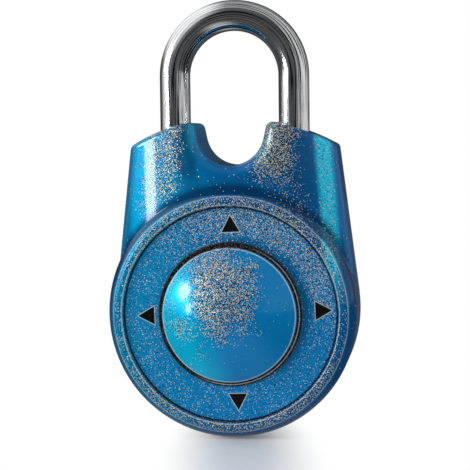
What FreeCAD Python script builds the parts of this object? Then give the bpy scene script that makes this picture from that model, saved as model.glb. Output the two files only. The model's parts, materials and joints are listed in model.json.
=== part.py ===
import FreeCAD, Part
import math
import os
import Sketcher

# A directional combination padlock: a cast body under a steel shackle, with a round knob
# that is pushed up, down, left or right over a marked dial plate.
# Millimetres and degrees. The pieces are drawn about the centre of the dial, which looks
# towards -Y, and are then set down so that the origin lies at the top of the shackle's
# opening, where the staple that the lock hangs on sits.
# A depth is counted forwards from the plane of the shackle, so it is -Y.

V = FreeCAD.Vector

DIMENSIONS = {
    # Body outline
    "body_radius": 28.5,
    "side_angle": 7.25,
    "top_radius": 48.0,
    "top_centre": -3.6,
    "crotch_radius": 7.7,
    "crotch_centre": 41.3,
    "crotch_angle": 12.0,
    "peak_round": 1.6,
    "edge_round": 1.2,
    "lip_round": 3.2,
    "overcut": 2.0,
    # Body depths
    "parting_depth": -5.0,
    "shoulder_depth": 1.0,
    "shoulder_crown": 10.0,
    "shoulder_round": 4.0,
    "flank_depth": 7.5,
    "flank_round": 5.2,
    "rim_depth": 12.0,
    "rim_bevel": 0.35,
    "rear_depth": -9.0,
    "rear_step": 1.0,
    "rear_round": 2.5,
    "cover_wall": 1.8,
    "floor_thickness": 1.8,
    "cavity_radius": 25.6,
    "peg_radius": 1.3,
    "peg_length": 3.5,
    "peg_height": 30.7,
    "peg_fit": 0.05,
    # Dial plate
    "plate_radius": 24.2,
    "plate_gap": 0.35,
    "plate_thickness": 1.2,
    "plate_hole": 10.0,
    "plate_sink": 1.1,
    "stem_hole": 9.0,
    "arrow_base": 18.4,
    "arrow_tip": 22.1,
    "arrow_width": 4.1,
    "arrow_depth": 0.15,
    "arrow_count": 4,
    "dial_angle": 2.0,
    "arrow_shift_x": 1.0,
    "arrow_shift_z": 0.35,
    # Knob
    "knob_radius": 15.3,
    "knob_side": 1.0,
    "dome_height": 6.1,
    "knob_round": 0.7,
    "skirt_radius": 16.4,
    "skirt_thickness": 0.45,
    "skirt_gap": 0.15,
    "stem_radius": 3.0,
    "travel": 3.0,
    "washer_radius": 4.6,
    "washer_thickness": 0.9,
    "stem_screw_radius": 1.2,
    "stem_screw_head": 2.3,
    "stem_screw_length": 4.5,
    # Yokes
    "layer_gap": 0.2,
    "slide_gap": 0.15,
    "yoke_thickness": 1.2,
    "side_yoke_width": 26.0,
    "side_yoke_height": 32.0,
    "lift_yoke_width": 32.0,
    "lift_yoke_height": 19.0,
    "rib_width": 1.5,
    "window_length": 11.0,
    "window_width": 5.0,
    "centring_post": 1.1,
    "centring_place": 11.6,
    "tongue_thickness": 0.4,
    "tongue_width": 1.6,
    "tongue_foot": 1.4,
    # Wheels
    "wheel_spread": 9.0,
    "wheel_height": 7.5,
    "ratchet_radius": 6.3,
    "tooth_depth": 0.7,
    "tooth_count": 15,
    "ratchet_thickness": 1.6,
    "disc_radius": 4.9,
    "disc_thickness": 1.4,
    "gate_width": 1.8,
    "gate_depth": 1.9,
    "hub_radius": 2.7,
    "hub_fit": 0.1,
    "wheel_post_radius": 1.5,
    "running_fit": 0.05,
    "strip_thickness": 0.25,
    "holder_angle": 50.0,
    # Fence, bolt and plate
    "fence_thickness": 1.0,
    "finger_width": 1.5,
    "finger_height": 1.2,
    "fence_gap": 0.2,
    "fence_arm": 2.0,
    "fence_bar_width": 5.0,
    "bolt_floor": 30.0,
    "bolt_height": 2.2,
    "bolt_length": 7.6,
    "bolt_width": 6.0,
    "bolt_travel": 2.3,
    "bolt_gap": 0.2,
    "bolt_slope": 0.8,
    "channel_length": 16.0,
    "mechanism_thickness": 1.2,
    "mechanism_gap": 0.4,
    "boss_radius": 2.2,
    "boss_inset": 4.1,
    "screw_radius": 0.9,
    "screw_head_radius": 1.9,
    "screw_head_height": 1.1,
    "screw_length": 4.0,
    # Shackle
    "leg_spread": 13.85,
    "shackle_radius": 3.55,
    "bow_centre": 54.1,
    "toe_end": 27.5,
    "heel_end": 16.0,
    "leg_chamfer": 0.8,
    "bore_fit": 0.1,
    "lift": 16.0,
    "squeeze": 1.5,
    "notch_height": 4.0,
    "clip_height": 0.8,
    "clip_rise": 0.8,
    "clip_radius": 4.6,
    "groove_radius": 2.7,
    "chamber_radius": 4.75,
    "clear_spring_height": 5.6,
    "shelf_width": 5.8,
    "shelf_thickness": 1.4,
    # Code change lever
    "lever_width": 2.2,
    "lever_length": 2.6,
    "lever_travel": 4.0,
    "lever_low": -13.2,
    "lever_gap": 0.2,
    "head_width": 5.2,
    "head_length": 5.0,
    "head_thickness": 0.6,
    "recess_margin": 1.0,
    "recess_depth": 0.8,
    "slide_thickness": 1.0,
    "slide_width": 6.0,
    "slide_arm": 4.0,
    "rivet_radius": 0.8,
}

document = FreeCAD.newDocument("combination_padlock")
sheet = document.addObject("Spreadsheet::Sheet", "Sizes")
for row, (alias, number) in enumerate(DIMENSIONS.items(), start=1):
    sheet.set(f"A{row}", alias.replace("_", " "))
    sheet.set(f"B{row}", str(number))
    sheet.setAlias(f"B{row}", alias)
document.recompute()


class Size:
    """A dimension: its value, and the sheet expression that a property is bound to."""

    def __init__(self, value, text=None):
        self.value = float(value)
        self.text = text or repr(float(value))

    def joined(self, other, sign, swap=False):
        """Join two sizes with an arithmetic sign."""
        left, right = (as_size(other), self) if swap else (self, as_size(other))
        if sign == "+":
            value = left.value + right.value
        elif sign == "-":
            value = left.value - right.value
        elif sign == "*":
            value = left.value * right.value
        else:
            value = left.value / right.value
        return Size(value, f"({left.text} {sign} {right.text})")

    def __add__(self, other):
        return self.joined(other, "+")

    def __radd__(self, other):
        return self.joined(other, "+", swap=True)

    def __sub__(self, other):
        return self.joined(other, "-")

    def __rsub__(self, other):
        return self.joined(other, "-", swap=True)

    def __mul__(self, other):
        return self.joined(other, "*")

    def __rmul__(self, other):
        return self.joined(other, "*", swap=True)

    def __truediv__(self, other):
        return self.joined(other, "/")

    def __rtruediv__(self, other):
        return self.joined(other, "/", swap=True)

    def __neg__(self):
        return Size(0).joined(self, "-")


def as_size(number):
    """Take a plain number as a size."""
    return number if isinstance(number, Size) else Size(number)


def sine(angle):
    """The sine of an angle in degrees."""
    angle = as_size(angle)
    return Size(math.sin(math.radians(angle.value)), f"sin({angle.text} * 1 deg)")


def cosine(angle):
    """The cosine of an angle in degrees."""
    angle = as_size(angle)
    return Size(math.cos(math.radians(angle.value)), f"cos({angle.text} * 1 deg)")


def root(number):
    """The square root of a size."""
    return Size(math.sqrt(number.value), f"sqrt({number.text})")


def side_of(hypotenuse, other):
    """The third side of a right-angled triangle."""
    return root(hypotenuse * hypotenuse - as_size(other) * other)


class Sheet:
    """The cells of the sheet, read by name."""

    def __getattr__(self, alias):
        return Size(sheet.get(alias), f"Sizes.{alias}")


S = Sheet()

# Levels and places that several pieces share
DROP = S.bow_centre + S.leg_spread - S.shackle_radius
PLATE_FACE = S.rim_depth - S.plate_sink
FLOOR_FRONT = PLATE_FACE - S.plate_thickness
FLOOR = FLOOR_FRONT - S.floor_thickness
FLOOR_MIDDLE = FLOOR + S.floor_thickness / 2
COVER_INNER = S.rear_depth + S.cover_wall
COVER_SHOULDER = S.rear_depth + S.rear_step
SIDE_YOKE_FRONT = FLOOR - S.layer_gap
SIDE_YOKE_BACK = SIDE_YOKE_FRONT - S.yoke_thickness
LIFT_YOKE_FRONT = SIDE_YOKE_BACK - S.layer_gap
LIFT_YOKE_BACK = LIFT_YOKE_FRONT - S.yoke_thickness
WASHER_FRONT = LIFT_YOKE_BACK - S.layer_gap / 2
WASHER_BACK = WASHER_FRONT - S.washer_thickness
RATCHET_FRONT = WASHER_BACK - S.layer_gap / 2
RATCHET_BACK = RATCHET_FRONT - S.ratchet_thickness
DISC_FRONT = RATCHET_BACK - S.layer_gap
DISC_BACK = DISC_FRONT - S.disc_thickness
FENCE_FRONT = DISC_BACK - 2 * S.layer_gap
FENCE_BACK = FENCE_FRONT - S.fence_thickness
MECHANISM_FRONT = FENCE_BACK - 2 * S.layer_gap
MECHANISM_BACK = MECHANISM_FRONT - S.mechanism_thickness
SLIDE_FRONT = MECHANISM_BACK - S.layer_gap
SLIDE_BACK = SLIDE_FRONT - S.slide_thickness
KNOB_BACK = PLATE_FACE + S.skirt_gap + S.skirt_thickness
KNOB_TOP = KNOB_BACK + S.knob_side + S.dome_height
BORE_RADIUS = S.shackle_radius + S.bore_fit
BOLT_BACK_END = S.leg_spread - BORE_RADIUS - S.bolt_gap / 2
CHANNEL_END = S.leg_spread - BORE_RADIUS / 2
CLIP_FLOOR = S.heel_end + S.clip_rise
SHELF_TOP = S.toe_end - S.clear_spring_height
CHAMBER_TOP = CLIP_FLOOR + S.clip_height + S.lift + S.slide_gap * 2
SECTION_TOP = S.top_radius + S.top_centre + S.overcut
OPEN_TOP = SECTION_TOP + 2 * S.overcut
WHEELS = [(1, 1), (-1, 1), (-1, -1), (1, -1)]

subparts = []


def bind(item, name, size):
    """Bind a property to the sheet."""
    size = as_size(size)
    if "." not in name:
        setattr(item, name, size.value)
    item.setExpression(name, size.text)


def new_body(label, x=0, z=0):
    """Start a sub-part that is made of sketches and features."""
    body = document.addObject("PartDesign::Body", label)
    body.Label = label
    bind(body, "Placement.Base.x", x)
    bind(body, "Placement.Base.z", z - DROP)
    subparts.append(body)
    return body


def new_solid(label, shape):
    """Add a sub-part whose shape is bent or joined from plain solids."""
    item = document.addObject("Part::Feature", label)
    item.Label = label
    item.Shape = shape
    item.Placement = FreeCAD.Placement(V(0, 0, -DROP.value), FreeCAD.Rotation())
    subparts.append(item)
    return item


def origin_feature(body, role):
    """A plane or axis of the body's own origin."""
    return [item for item in body.Origin.OriginFeatures if item.Role == role][0]


def new_sketch(body, name, plane, level):
    """A sketch parallel to an origin plane, at a level along its normal."""
    sketch = body.newObject("Sketcher::SketchObject", f"{body.Name}_{name}")
    sketch.AttachmentSupport = [(origin_feature(body, plane), "")]
    sketch.MapMode = "FlatFace"
    bind(sketch, "AttachmentOffset.Base.z", level)
    return sketch


def pin_point(constraints, index, end, x, z):
    """Fix one end of an edge, or a centre, at a place."""
    for kind, size, axis in (("DistanceX", as_size(x), -2), ("DistanceY", as_size(z), -1)):
        if size.text == "0.0":
            constraints.append((Sketcher.Constraint("PointOnObject", index, end, axis), None))
        else:
            constraints.append((Sketcher.Constraint(kind, index, end, size.value), size))


def arc_through(start, end, radius):
    """The short arc between two points, turning left where the radius is positive."""
    chord = end - start
    half = chord.Length / 2
    rise = math.sqrt(max(radius * radius - half * half, 0))
    left = V(-chord.y, chord.x, 0).normalize()
    centre = (start + end) * 0.5 + left * math.copysign(rise, radius)
    first, last = (start, end) if radius > 0 else (end, start)
    low = math.atan2(first.y - centre.y, first.x - centre.x)
    high = math.atan2(last.y - centre.y, last.x - centre.x)
    if high < low:
        high += 2 * math.pi
    return Part.ArcOfCircle(Part.Circle(centre, V(0, 0, 1), abs(radius)), low, high)


def draw_outline(sketch, corners, closed=True):
    """Draw an outline. A corner is (x, z), or (x, z, radius) where an arc leaves it."""
    first = sketch.GeometryCount
    following = corners[1:] + corners[:1] if closed else corners[1:]
    edges = []
    ends = []
    constraints = []
    for number, (here, there) in enumerate(zip(corners, following)):
        start = V(as_size(here[0]).value, as_size(here[1]).value, 0)
        end = V(as_size(there[0]).value, as_size(there[1]).value, 0)
        if len(here) == 3:
            radius = as_size(here[2])
            edges.append(arc_through(start, end, radius.value))
            ends.append((1, 2) if radius.value > 0 else (2, 1))
            size = radius if radius.value > 0 else -radius
            rule = Sketcher.Constraint("Radius", first + number, size.value)
            constraints.append((rule, size))
        else:
            edges.append(Part.LineSegment(start, end))
            ends.append((1, 2))
        pin_point(constraints, first + number, ends[-1][0], here[0], here[1])
    joints = len(edges) if closed else len(edges) - 1
    for number in range(joints):
        after = (number + 1) % len(edges)
        rule = Sketcher.Constraint("Coincident", first + number, ends[number][1],
                                   first + after, ends[after][0])
        constraints.append((rule, None))
    if not closed:
        pin_point(constraints, first + len(edges) - 1, ends[-1][1],
                  corners[-1][0], corners[-1][1])
    sketch.addGeometry(edges, False)
    add_rules(sketch, constraints)


def draw_circle(sketch, x, z, radius):
    """Draw a whole circle."""
    index = sketch.GeometryCount
    radius = as_size(radius)
    centre = V(as_size(x).value, as_size(z).value, 0)
    sketch.addGeometry([Part.Circle(centre, V(0, 0, 1), radius.value)], False)
    constraints = [(Sketcher.Constraint("Radius", index, radius.value), radius)]
    pin_point(constraints, index, 3, x, z)
    add_rules(sketch, constraints)


def add_rules(sketch, constraints):
    """Add constraints and bind each one that has a size."""
    first = sketch.ConstraintCount
    sketch.addConstraint([rule for rule, size in constraints])
    for number, (rule, size) in enumerate(constraints):
        if size is not None and "Sizes" in size.text:
            sketch.setExpression(f"Constraints[{first + number}]", size.text)


def circle(x, z, radius):
    """A circle for pad and pocket."""
    return ("circle", x, z, radius)


def box(left, low, right, high):
    """A rectangle for pad and pocket."""
    return [(left, low), (right, low), (right, high), (left, high)]


def polygon(count, radius):
    """An even polygon about the dial's axis."""
    step = 360 / as_size(count)
    turns = range(int(as_size(count).value))
    return [(radius * cosine(step * turn), radius * sine(step * turn)) for turn in turns]


def draw(sketch, shapes):
    """Draw circles and outlines in one sketch."""
    for shape in shapes:
        if shape[0] == "circle":
            draw_circle(sketch, *shape[1:])
        else:
            draw_outline(sketch, shape)


def pad(body, name, shapes, back, front):
    """Raise shapes drawn as seen from the front, between two depths."""
    sketch = new_sketch(body, name + "_sketch", "XZ_Plane", back)
    draw(sketch, shapes)
    feature = body.newObject("PartDesign::Pad", f"{body.Name}_{name}")
    feature.Profile = sketch
    bind(feature, "Length", as_size(front) - back)
    return feature


def pocket(body, name, shapes, back, front):
    """Cut shapes drawn as seen from the front, between two depths."""
    sketch = new_sketch(body, name + "_sketch", "XZ_Plane", front)
    draw(sketch, shapes)
    feature = body.newObject("PartDesign::Pocket", f"{body.Name}_{name}")
    feature.Profile = sketch
    bind(feature, "Length", as_size(front) - back)
    return feature


def drill(body, name, shapes, low, high):
    """Cut shapes drawn as seen from above, between two heights."""
    sketch = new_sketch(body, name + "_sketch", "XY_Plane", high)
    draw(sketch, shapes)
    feature = body.newObject("PartDesign::Pocket", f"{body.Name}_{name}")
    feature.Profile = sketch
    bind(feature, "Length", as_size(high) - low)
    return feature


def turn(body, name, profile):
    """Turn a profile of (radius, depth) corners about the dial's axis."""
    sketch = new_sketch(body, name + "_sketch", "XY_Plane", 0)
    corners = [(corner[0], -as_size(corner[1])) + tuple(corner[2:]) for corner in profile]
    draw_outline(sketch, corners)
    feature = body.newObject("PartDesign::Revolution", f"{body.Name}_{name}")
    feature.Profile = sketch
    feature.ReferenceAxis = (sketch, ["V_Axis"])
    feature.Angle = 360
    return feature


def polar(body, feature, count):
    """Repeat a feature evenly about the body's own Y axis."""
    pattern = body.newObject("PartDesign::PolarPattern", f"{feature.Name}_ring")
    pattern.Originals = [feature]
    pattern.Axis = (origin_feature(body, "Y_Axis"), [""])
    pattern.Angle = 360
    pattern.Occurrences = int(count.value)
    pattern.setExpression("Occurrences", count.text)
    body.Tip = pattern
    return pattern


def edges_at(feature, places):
    """The names of the edges that lie nearest to the given places."""
    document.recompute()
    names = []
    for place in places:
        point = Part.Vertex(V(*(as_size(number).value for number in place)))
        gaps = [edge.distToShape(point)[0] for edge in feature.Shape.Edges]
        names.append(f"Edge{gaps.index(min(gaps)) + 1}")
    return names


def round_edges(body, name, feature, places, radius):
    """Round the edges nearest to the given places, with all that run on from them."""
    fillet = body.newObject("PartDesign::Fillet", f"{body.Name}_{name}")
    fillet.Base = (feature, edges_at(feature, places))
    bind(fillet, "Radius", radius)
    return fillet


def bevel_edges(body, name, feature, places, size):
    """Bevel the edges nearest to the given places."""
    chamfer = body.newObject("PartDesign::Chamfer", f"{body.Name}_{name}")
    chamfer.Base = (feature, edges_at(feature, places))
    bind(chamfer, "Size", size)
    return chamfer


def prism(face, back, front):
    """A flat face at the shackle's plane, thickened between two depths."""
    face.translate(V(0, -back.value, 0))
    return face.extrude(V(0, back.value - front.value, 0))


def ring_solid(x, z, outer, inner, back, front):
    """A tube or disc along the depth, about a place on the front view."""
    solid = Part.makeCylinder(outer.value, front.value - back.value,
                              V(x.value, -back.value, z.value), V(0, -1, 0))
    if inner is None:
        return solid
    return solid.cut(Part.makeCylinder(inner.value, front.value - back.value,
                                       V(x.value, -back.value, z.value), V(0, -1, 0)))


def strip(points, back, front):
    """A bent strip of spring steel through points of the front view, mitred at its bends."""
    line = [V(as_size(x).value, 0, as_size(z).value) for x, z in points]
    runs = [(after - before).normalize() for before, after in zip(line, line[1:])]
    half = S.strip_thickness.value / 2
    left = []
    right = []
    for point, before, after in zip(line, runs[:1] + runs, runs + runs[-1:]):
        across = V(-before.z - after.z, 0, before.x + after.x).normalize()
        reach = half / max(across.dot(V(-before.z, 0, before.x)), 0.3)
        left.append(point + across * reach)
        right.append(point - across * reach)
    loop = left + right[::-1]
    return prism(Part.Face(Part.makePolygon(loop + loop[:1])), back, front)


# Body outline


def half_width(height):
    """Half the body's width, where its sides lean in above the round part."""
    return (S.body_radius - height * sine(S.side_angle)) / cosine(S.side_angle)


def above_the_top():
    """The space over the arched top of the shoulders."""
    edge_x = S.body_radius + S.overcut
    edge_z = S.top_centre + side_of(S.top_radius, edge_x)
    return [(edge_x, edge_z, S.top_radius), (-edge_x, edge_z),
            (-edge_x, OPEN_TOP), (edge_x, OPEN_TOP)]


def crotch():
    """The round notch under the shackle, with sides that flare out."""
    x = S.crotch_radius * cosine(S.crotch_angle)
    z = S.crotch_centre - S.crotch_radius * sine(S.crotch_angle)
    slope = sine(S.crotch_angle) / cosine(S.crotch_angle)
    wide = x + (OPEN_TOP - z) * slope
    return [(-x, z, S.crotch_radius), (x, z), (wide, OPEN_TOP), (-wide, OPEN_TOP)]


def peak_places():
    """Where the notch meets the arched top, on both sides."""
    z = S.top_centre + S.top_radius - S.peak_round / 2
    slope = sine(S.crotch_angle) / cosine(S.crotch_angle)
    x = S.crotch_radius * cosine(S.crotch_angle) + (z - S.crotch_centre) * slope
    return [(x, 0, z), (-x, 0, z)]


def shoulder_outline():
    """The shoulders with their leaning sides, before the top is arched."""
    tangent = S.body_radius * sine(S.side_angle)
    low = half_width(tangent)
    high = half_width(SECTION_TOP)
    return [(-low, tangent), (low, tangent), (high, SECTION_TOP), (-high, SECTION_TOP)]


def crown(body, name):
    """Cut the shoulders' front to a shallow arch, straight up and down."""
    edge = S.body_radius + S.overcut
    flat = S.shoulder_depth
    radius = (edge * edge + S.shoulder_crown * S.shoulder_crown) / (2 * S.shoulder_crown)
    clear = flat + 2 * S.shoulder_crown
    return drill(body, name, [[
        (edge, -flat, -radius), (-edge, -flat), (-edge, -clear), (edge, -clear),
    ]], -S.overcut, OPEN_TOP)


def make_front_housing():
    """The cast front: shoulders, round boss with its rim, and all the bores and seats."""
    body = new_body("front_housing")
    pad(body, "shoulders", [shoulder_outline()], S.parting_depth,
        S.shoulder_depth + S.shoulder_crown)
    arched = crown(body, "crown")
    middle = SECTION_TOP / 2
    wide = half_width(middle)
    sides = [(wide, -S.shoulder_depth, middle), (-wide, -S.shoulder_depth, middle)]
    round_edges(body, "sides", arched, sides, S.shoulder_round)
    far_back = S.rear_depth
    far_front = S.rim_depth + S.overcut
    notch = pocket(body, "crotch", [crotch()], far_back, far_front)
    bottom = S.crotch_centre - S.crotch_radius
    lip = (0, -S.shoulder_depth - S.shoulder_crown, bottom)
    round_edges(body, "lip", notch, [lip], S.lip_round)
    top = pocket(body, "top", [above_the_top()], far_back, far_front)
    round_edges(body, "peaks", top, peak_places(), S.peak_round)
    turn(body, "boss", [
        (0, S.parting_depth), (S.body_radius, S.parting_depth),
        (S.body_radius, S.flank_depth, -S.flank_round),
        (S.body_radius - S.flank_round / 2, S.rim_depth),
        (S.plate_radius + S.plate_gap, S.rim_depth),
        (S.plate_radius + S.plate_gap, FLOOR_FRONT), (0, FLOOR_FRONT),
    ])
    back = S.parting_depth
    pocket(body, "cavity", [circle(0, 0, S.cavity_radius)], back, FLOOR)
    seat_radius = S.plate_radius + S.plate_gap
    seat = pocket(body, "plate_seat", [circle(0, 0, seat_radius)], FLOOR_FRONT, S.rim_depth)
    bevel_edges(body, "rim_edge", seat, [(-seat_radius, -S.rim_depth, 0)], S.rim_bevel)
    pocket(body, "stem_hole", [circle(0, 0, S.stem_hole)], FLOOR, FLOOR_FRONT)
    legs = [circle(S.leg_spread, 0, BORE_RADIUS), circle(-S.leg_spread, 0, BORE_RADIUS)]
    low_end = S.heel_end - 2 * S.squeeze
    drill(body, "bores", legs, low_end, OPEN_TOP)
    drill(body, "chamber", [circle(-S.leg_spread, 0, S.chamber_radius)], low_end, CHAMBER_TOP)
    pocket(body, "bolt_channel", [box(
        CHANNEL_END - S.channel_length, S.bolt_floor - S.bolt_gap,
        CHANNEL_END, S.bolt_floor + S.bolt_height + S.bolt_gap,
    )], back, S.bolt_width / 2 + S.bolt_gap / 2)
    half_slot = S.fence_bar_width / 2 + S.fence_gap
    pocket(body, "fence_slot", [
        box(-half_slot, S.cavity_radius - S.overcut, half_slot, S.bolt_floor + S.bolt_height / 2),
    ], back, FENCE_FRONT + S.fence_gap * 2)
    guide_ribs(body)
    pad(body, "toe_shelf", [box(
        S.leg_spread - S.shelf_width / 2, SHELF_TOP - S.shelf_thickness,
        S.leg_spread + S.shelf_width / 2, SHELF_TOP,
    )], MECHANISM_FRONT + S.layer_gap, FLOOR_MIDDLE)
    bosses = [circle(x, z, S.boss_radius) for x, z in screw_places()]
    pad(body, "bosses", bosses, MECHANISM_FRONT, FLOOR_MIDDLE)
    pad(body, "centring_post", [circle(0, -S.centring_place, S.centring_post)],
        SIDE_YOKE_BACK + S.layer_gap, FLOOR_MIDDLE)
    holes = [circle(x, z, S.screw_radius) for x, z in screw_places()]
    pocket(body, "screw_holes", holes, MECHANISM_FRONT, MECHANISM_FRONT + S.screw_length)
    pegs = [circle(x, z, S.peg_radius + S.peg_fit) for x, z in peg_places()]
    pocket(body, "peg_holes", pegs, back, back + S.peg_length + S.layer_gap)


def guide_ribs(body):
    """The ribs behind the floor that the two yokes slide between."""
    edge = S.side_yoke_height / 2 + S.slide_gap
    half = S.side_yoke_width / 2
    pad(body, "side_ribs", [
        box(-half, edge, half, edge + S.rib_width),
        box(-half, -edge - S.rib_width, half, -edge),
    ], SIDE_YOKE_BACK, FLOOR_MIDDLE)
    edge = S.lift_yoke_width / 2 + S.slide_gap
    half = S.lift_yoke_height / 2 + S.travel
    pad(body, "lift_ribs", [
        box(edge, -half, edge + S.rib_width, half),
        box(-edge - S.rib_width, -half, -edge, half),
    ], LIFT_YOKE_BACK, FLOOR_MIDDLE)


def screw_places():
    """The three bosses that carry the mechanism plate."""
    reach = S.cavity_radius - S.boss_inset
    return [(reach, 0), (-reach, 0), (0, -reach)]


def peg_places():
    """The pegs in the corners of the shoulders that join the two castings."""
    x = (half_width(S.peg_height) + S.leg_spread + BORE_RADIUS) / 2
    return [(x, S.peg_height), (-x, S.peg_height)]


def make_rear_cover():
    """The cast back, which closes the mechanism in and guides the code change lever."""
    body = new_body("rear_cover")
    front = S.parting_depth
    pad(body, "shoulders", [shoulder_outline()], COVER_SHOULDER, front)
    pocket(body, "top", [above_the_top()], S.rear_depth - S.overcut, front + S.overcut)
    notch = pocket(body, "crotch", [crotch()], S.rear_depth - S.overcut, front + S.overcut)
    corner_z = S.top_centre + side_of(S.top_radius, half_width(S.crotch_centre))
    corner_x = half_width(corner_z)
    middle = -(front + COVER_SHOULDER) / 2
    corners = [(corner_x, middle, corner_z), (-corner_x, middle, corner_z)]
    peaks = [(x, middle, z) for x, y, z in peak_places()]
    peaks = round_edges(body, "peaks", notch, peaks, S.peak_round)
    corners = round_edges(body, "corners", peaks, corners, S.edge_round)
    bottom = S.crotch_centre - S.crotch_radius
    round_edges(body, "lips", corners, [(0, -COVER_SHOULDER, bottom)], S.rear_step)
    turn(body, "disc", [
        (0, front), (S.body_radius, front),
        (S.body_radius, S.rear_depth + S.rear_round, S.rear_round),
        (S.body_radius - S.rear_round, S.rear_depth), (0, S.rear_depth),
    ])
    pocket(body, "cavity", [circle(0, 0, S.cavity_radius)], COVER_INNER, front)
    low = S.lever_low - S.lever_gap
    high = S.lever_low + S.lever_length + S.lever_travel + S.lever_gap
    half = S.lever_width / 2 + S.lever_gap
    pocket(body, "lever_slot", [box(-half, low, half, high)], S.rear_depth, COVER_INNER + S.overcut)
    middle = S.lever_low + S.lever_length / 2
    low = middle - S.head_length / 2 - S.recess_margin
    high = middle + S.head_length / 2 + S.lever_travel + S.recess_margin
    half = S.head_width / 2 + S.recess_margin
    pocket(body, "lever_recess", [box(-half, low, half, high)],
           S.rear_depth, S.rear_depth + S.recess_depth)
    pegs = [circle(x, z, S.peg_radius) for x, z in peg_places()]
    pad(body, "pegs", pegs, front - S.peg_radius, front + S.peg_length)


# Dial and knob


def turned(radius, across):
    """A corner of the upper arrow, turned with the dial plate."""
    return (across * cosine(S.dial_angle) - radius * sine(S.dial_angle),
            across * sine(S.dial_angle) + radius * cosine(S.dial_angle))


def make_dial_plate():
    """The marked plate round the knob, with four sunk arrows a little off its centre."""
    body = new_body("dial_plate", S.arrow_shift_x, S.arrow_shift_z)
    x = -S.arrow_shift_x
    z = -S.arrow_shift_z
    plate = pad(body, "plate", [
        circle(x, z, S.plate_radius), circle(x, z, S.plate_hole),
    ], FLOOR_FRONT, PLATE_FACE)
    rim = [(x - S.plate_radius, -PLATE_FACE, z)]
    bevel_edges(body, "rim", plate, rim, S.arrow_depth)
    arrow = pocket(body, "arrow", [[
        turned(S.arrow_base, -S.arrow_width / 2), turned(S.arrow_base, S.arrow_width / 2),
        turned(S.arrow_tip, as_size(0)),
    ]], PLATE_FACE - S.arrow_depth, PLATE_FACE)
    polar(body, arrow, S.arrow_count)


def make_knob():
    """The domed knob and its stem, turned as one."""
    body = new_body("knob")
    dome = (S.knob_radius * S.knob_radius + S.dome_height * S.dome_height) / (2 * S.dome_height)
    centre = KNOB_TOP - dome
    inner = S.knob_radius - S.knob_round
    rise = side_of(dome - S.knob_round, inner)
    grown = dome / (dome - S.knob_round)
    stem_end = WASHER_FRONT
    turn(body, "dome", [
        (0, stem_end), (S.stem_radius, stem_end), (S.stem_radius, KNOB_BACK),
        (S.knob_radius, KNOB_BACK), (S.knob_radius, centre + rise, -S.knob_round),
        (inner * grown, centre + rise * grown, -dome), (0, KNOB_TOP),
    ])
    pocket(body, "screw_hole", [circle(0, 0, S.stem_screw_radius)],
           stem_end, stem_end + S.stem_screw_length)


def make_knob_skirt():
    """The black disc behind the knob, which hides the hole in the dial plate."""
    body = new_body("knob_skirt")
    back = PLATE_FACE + S.skirt_gap
    turn(body, "disc", [
        (S.stem_radius, back), (S.skirt_radius, back),
        (S.skirt_radius - S.skirt_thickness / 2, KNOB_BACK), (S.stem_radius, KNOB_BACK),
    ])


def make_stem_washer():
    """The washer that holds the yokes on the stem."""
    body = new_body("stem_washer")
    turn(body, "ring", [
        (S.stem_screw_head, WASHER_BACK), (S.washer_radius, WASHER_BACK),
        (S.washer_radius, WASHER_FRONT), (S.stem_screw_radius, WASHER_FRONT),
    ])


def make_stem_screw():
    """The countersunk screw in the end of the stem."""
    body = new_body("stem_screw")
    tip = WASHER_FRONT + S.stem_screw_length - S.layer_gap
    turn(body, "screw", [
        (0, WASHER_BACK), (S.stem_screw_head, WASHER_BACK),
        (S.stem_screw_radius, WASHER_FRONT), (S.stem_screw_radius, tip), (0, tip),
    ])
    half = S.washer_thickness / 4
    long = S.stem_screw_radius
    pocket(body, "drive", [box(-half, -long, half, long)],
           WASHER_BACK, WASHER_BACK + S.washer_thickness / 2)


# Yokes and their springs


def make_side_yoke():
    """The plate that follows the knob left and right."""
    body = new_body("side_yoke")
    wide = S.side_yoke_width / 2
    tall = S.side_yoke_height / 2
    slot = S.stem_radius + S.bore_fit
    slot_end = S.stem_radius + S.travel + S.layer_gap
    half = S.window_width / 2
    pad(body, "plate", [
        box(-wide, -tall, wide, tall),
        box(-slot, -slot_end, slot, slot_end),
        box(-S.window_length / 2, -S.centring_place - half,
            S.window_length / 2, -S.centring_place + half),
    ], SIDE_YOKE_BACK, SIDE_YOKE_FRONT)


def make_lift_yoke():
    """The plate that follows the knob up and down."""
    body = new_body("lift_yoke")
    wide = S.lift_yoke_width / 2
    tall = S.lift_yoke_height / 2
    slot = S.stem_radius + S.bore_fit
    slot_end = S.stem_radius + S.travel + S.layer_gap
    half = S.window_width / 2
    pad(body, "plate", [
        box(-wide, -tall, wide, tall),
        box(-slot_end, -slot, slot_end, slot),
        box(-S.centring_place - half, -S.window_length / 2,
            -S.centring_place + half, S.window_length / 2),
    ], LIFT_YOKE_BACK, LIFT_YOKE_FRONT)


def make_drive_springs():
    """Bent tongues on the yokes that push the teeth of the wheels."""
    tip = RATCHET_BACK + S.layer_gap
    clear = S.ratchet_radius + S.slide_gap
    half = S.tongue_width / 2
    side_tongues = []
    lift_tongues = []
    for right, up in WHEELS:
        x = right * S.wheel_spread
        start = S.wheel_height + clear
        side_tongues.append(tongue(x - half, x + half, up * start,
                                   up * (start + S.tongue_foot), tip, SIDE_YOKE_BACK, "z"))
        z = up * S.wheel_height
        start = S.wheel_spread + clear
        lift_tongues.append(tongue(z - half, z + half, right * start,
                                   right * (start - S.tongue_foot), tip, LIFT_YOKE_BACK, "x"))
    new_solid("side_drive_springs", Part.makeCompound(side_tongues))
    new_solid("lift_drive_springs", Part.makeCompound(lift_tongues))


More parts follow.
